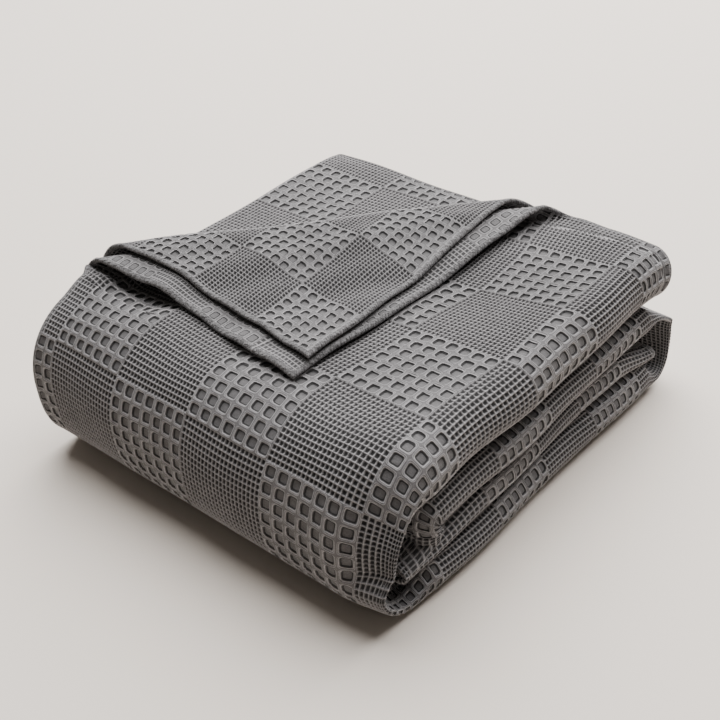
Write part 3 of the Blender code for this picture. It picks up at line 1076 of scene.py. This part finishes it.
def make_cotton():
    """Dark grey waffle cotton, with painted highlights on the cell outlines and rib tops, painted
    shade in the cell hollows and beside the stitched line, and a stitched twill hem.
    """
    material = bpy.data.materials.new("cotton")
    material.use_nodes = True
    shader = material.node_tree.nodes["Principled BSDF"]
    g = Graph(material)
    part = g.node("ShaderNodeSeparateXYZ")
    g.link(g.attribute("weave", "Vector"), part.inputs["Vector"])
    a, b, edge = part.outputs["X"], part.outputs["Y"], part.outputs["Z"]
    rim, stitch = g.attribute("rim"), g.attribute("stitch")
    place = g.node("ShaderNodeTexCoord").outputs["Object"]

    across, along, fine = block_cells(g, a, b, rim)
    fray = g.add(FRAY_LEAST, g.multiply(g.noise(place, FRAY_NOISE), FRAY))
    thread_highlights, pit_shade = large_pattern(g, across, along, fray, place)
    cord_highlights, fine_pit_shade = fine_pattern(g, a, b, fray, place)
    hem_light, hem_dark, tufts = hem_pattern(g, a, b, edge, place)
    in_hem = g.without(g.ramp(edge, HEM_MARK))
    # light holds the painted highlights of the cells with the hem's light twill and seam; dark
    # holds the painted shade of the pits with the hem's dark twill
    light = g.mix(in_hem, g.mix(fine, thread_highlights, cord_highlights), hem_light)
    dark = g.mix(in_hem, g.mix(fine, pit_shade, fine_pit_shade), hem_dark)
    stitches = g.line(stitch, STITCHES)
    # painted shade in the crease beside the stitched line
    crease_shade = g.multiply(g.line(stitch, STITCH_CREASE), STITCH_CREASE_SHADE)
    light = g.most(light, stitches)
    dark = g.most(g.multiply(dark, g.without(stitches)), crease_shade)

    yarn, fuzz, patch = [g.noise(place, grain) for grain in (YARN_NOISE, FUZZ_NOISE, PATCH_NOISE)]
    tone = g.add(1.0, g.multiply(light, HIGHLIGHT_AND_HEM_TONE))
    tone = g.multiply(tone, g.without(g.multiply(dark, DARK_TONE)))
    for noise, (least, more) in ((yarn, YARN_TONE), (fuzz, FUZZ_TONE), (patch, PATCH_TONE)):
        tone = g.multiply(tone, g.add(least, g.multiply(noise, more)))
    colour = g.node("ShaderNodeMix")
    colour.data_type = "RGBA"
    colour.clamp_factor = False
    colour.inputs["A"].default_value = (0.0, 0.0, 0.0, 1.0)
    colour.inputs["B"].default_value = COTTON
    g.link(tone, colour.inputs["Factor"])
    g.link(colour.outputs["Result"], shader.inputs["Base Color"])

    height = g.add(g.multiply(light, THREAD_HEIGHT), g.multiply(yarn, YARN_HEIGHT))
    height = g.add(height, g.multiply(fuzz, FUZZ_HEIGHT))
    height = g.subtract(height, g.multiply(dark, DARK_HEIGHT))
    height = g.add(height, g.multiply(g.multiply(in_hem, tufts), TUFT_HEIGHT))
    bump = g.node("ShaderNodeBump")
    bump.inputs["Strength"].default_value = BUMP_STRENGTH
    bump.inputs["Distance"].default_value = BUMP_DISTANCE
    g.link(height, bump.inputs["Height"])
    g.link(bump.outputs["Normal"], shader.inputs["Normal"])
    shader.inputs["Roughness"].default_value = 0.86
    shader.inputs["Specular IOR Level"].default_value = 0.35
    shader.inputs["Sheen Weight"].default_value = 0.25
    shader.inputs["Sheen Roughness"].default_value = 0.5
    return material


def make_floor():
    """A wide pale floor just under the stack."""
    mesh = bpy.data.meshes.new("floor")
    ways = ((-1, -1), (1, -1), (1, 1), (-1, 1))
    corners = [(x * FLOOR_REACH, y * FLOOR_REACH, 0.0) for x, y in ways]
    mesh.from_pydata(corners, [], [(0, 1, 2, 3)])
    floor = bpy.data.objects.new("floor", mesh)
    floor.location.z = FLOOR_Z
    material = bpy.data.materials.new("pale floor")
    material.use_nodes = True
    shader = material.node_tree.nodes["Principled BSDF"]
    shader.inputs["Base Color"].default_value = FLOOR_COLOUR
    shader.inputs["Roughness"].default_value = 0.8
    mesh.materials.append(material)
    bpy.context.scene.collection.objects.link(floor)


def make_light():
    """One large soft lamp behind the stack, and a dim even world."""
    light = bpy.data.lights.new("key", "AREA")
    light.shape = "DISK"
    light.size = KEY_SIZE
    light.energy = KEY_POWER
    lamp = bpy.data.objects.new("key", light)
    lamp.location = KEY_PLACE
    way = Vector(KEY_TARGET) - Vector(KEY_PLACE)
    lamp.rotation_mode = "QUATERNION"
    lamp.rotation_quaternion = way.to_track_quat("-Z", "Y")
    bpy.context.scene.collection.objects.link(lamp)
    world = bpy.data.worlds.new("studio")
    bpy.context.scene.world = world
    world.use_nodes = True
    background = world.node_tree.nodes["Background"]
    background.inputs["Color"].default_value = WORLD_COLOUR
    background.inputs["Strength"].default_value = WORLD_STRENGTH


def make_camera():
    """The camera that was fitted to the photograph."""
    azimuth, elevation = math.radians(CAMERA_AZIMUTH), math.radians(CAMERA_ELEVATION)
    roll = math.radians(CAMERA_ROLL)
    level = math.cos(elevation)
    back = Vector((math.sin(azimuth) * level, -math.cos(azimuth) * level, math.sin(elevation)))
    right = Vector((math.cos(azimuth), math.sin(azimuth), 0.0))
    up = back.cross(right)
    across = right * math.cos(roll) + up * math.sin(roll)
    upward = up * math.cos(roll) - right * math.sin(roll)
    data = bpy.data.cameras.new("camera")
    data.lens = CAMERA_LENS
    data.sensor_width = CAMERA_SENSOR
    data.clip_start = 0.01
    data.clip_end = 20.0
    camera = bpy.data.objects.new("camera", data)
    place = Vector(CAMERA_TARGET) + back * CAMERA_DISTANCE
    turn = Matrix((across, upward, back)).transposed()
    camera.matrix_world = Matrix.Translation(place) @ turn.to_4x4()
    bpy.context.scene.collection.objects.link(camera)
    bpy.context.scene.camera = camera


def weave_lines(runs, steps):
    """Lines that follow the weave along each run of the roll, the last with the tongue's hem."""
    found = [lines(low, high, ALONG, steps) for low, high in runs]
    found[-1] = hem_lines(found[-1], runs[-1][0], 1.0)
    return found


def even_lines(runs, counts):
    """Evenly spaced lines along each run of the roll, the last with the tongue's hem."""
    found = [np.linspace(low, high, count) for (low, high), count in zip(runs, counts)]
    found[-1] = hem_lines(found[-1], runs[-1][0], 1.0)
    return found


def make_piece(name, cotton, patches):
    """One sheet from its patches, each a kind, its lines across and its lines along.

    The flap's side A is its underside, which shows where the corner is turned back.
    """
    cloth = Cloth()
    for kind, us, vs in patches:
        cloth.add(kind, us, vs, flip=kind == "second")
    cloth.build(name, cotton)


def third_lines(level_1, steps_across, steps_along):
    """Lines of level 1's third ply: fine where the turned corner bares it, coarse beyond."""
    middle_of_level = facts(np.array([0.5]))
    left_end, left_radius = middle_of_level["left_end"][0], middle_of_level["left_radius"][0]
    start = float(left_end - math.pi * left_radius)
    across = lines(start, THIRD_FINE_X, THIRD_ACROSS, steps_across)
    across = np.concatenate([across, np.linspace(*THIRD_COARSE_X)])
    along = lines(THIRD_ALONG.places[0], TOP_END, THIRD_ALONG, steps_along)
    along = np.concatenate([np.linspace(level_1, *THIRD_COARSE_Y), along])
    return across, hem_lines(along, TOP_END, -1.0)


def flap_lines(level_1, steps_across, steps_along):
    """Lines of level 1's second ply: fine where it is turned back, coarse beyond."""
    across = lines(HEM_X, FLAP_FINE_X, FLAP_ACROSS, steps_across)
    across = np.concatenate([across, np.linspace(*FLAP_COARSE_X)])
    along = lines(FLAP_FINE_Y, TOP_END, FLAP_ALONG, steps_along)
    along = np.concatenate([np.linspace(level_1, *FLAP_COARSE_Y), along])
    across = hem_lines(across, HEM_X, 1.0, FLAP_STRETCH_ACROSS)
    return across, hem_lines(along, TOP_END, -1.0, FLAP_STRETCH_ALONG)


def make_blanket():
    """The ten sheets, all parts of one panel. Cloth length falls along the roll from TOP_END."""
    cotton = make_cotton()
    steps_across, steps_along = LINES_PER_CELL * FINE_ACROSS, LINES_PER_CELL * FINE_ALONG
    ends = [length_at(t) for t in range(1, 8)]
    level_1, tongue = ends[0], ends[-1]
    runs = [(low, high) for high, low in zip(ends, ends[1:])]
    front_wrap, back_wrap = runs[0], runs[2]
    inner_runs = [runs[1]] + runs[3:]

    loop_u = hem_lines(lines(HEM_X, LOOP_END, ACROSS, steps_across), HEM_X, 1.0)
    top_v = hem_lines(lines(level_1, TOP_END, ALONG, steps_along), TOP_END, -1.0)
    make_piece("blanket_top", cotton, [("top", loop_u, top_v)])
    for name, (low, high) in (("blanket_bulge", front_wrap), ("blanket_back", back_wrap)):
        wrap_v = lines(low, high, ALONG, steps_along)
        make_piece(name, cotton, [("top", loop_u, wrap_v)])

    ridge_u = lines(RIDGE_PATCH_X, LOOP_END, ACROSS, steps_across)
    patches = [("top", ridge_u, vs) for vs in weave_lines(inner_runs, steps_along)]
    make_piece("blanket_ridges", cotton, patches)
    coarse_u = [HEM_X + np.array(INNER_HEM_X), np.linspace(*INNER_COARSE_X)]
    coarse_u = hem_lines(np.concatenate(coarse_u), HEM_X, 1.0)
    patches = [("top", coarse_u, vs) for vs in even_lines(inner_runs, INNER_LINES)]
    make_piece("blanket_inner_levels", cotton, patches)

    level_v = hem_lines(np.linspace(level_1, TOP_END, LEVEL_1_LINES), TOP_END, -1.0)
    hidden_v = even_lines(runs, HIDDEN_LINES)
    patches = [("bottom", BOTTOM_STEPS, vs) for vs in [level_v] + hidden_v]
    make_piece("blanket_bottom_ply", cotton, patches)

    patches = []
    for vs in weave_lines(runs, steps_along / FOLD_THINNING):
        patches += [("left fold", LEFT_FOLD_STEPS, vs), ("inner fold", INNER_FOLD_STEPS, vs)]
    patches.append(("inner fold", INNER_FOLD_STEPS, level_v))
    make_piece("blanket_folds", cotton, patches)

    third = [("third", *third_lines(level_1, steps_across, steps_along))]
    make_piece("blanket_third_ply", cotton, third)

    second_u = np.concatenate([np.linspace(*SECOND_STEPS), SECOND_HEM_STEPS])
    patches = []
    for vs in hidden_v:
        patches += [("third step", THIRD_STEPS, vs), ("second step", second_u, vs)]
    make_piece("blanket_inner_plies", cotton, patches)

    flap = [("second", *flap_lines(level_1, steps_across, steps_along))]
    make_piece("blanket_flap", cotton, flap)


make_blanket()
make_floor()
make_camera()
make_light()
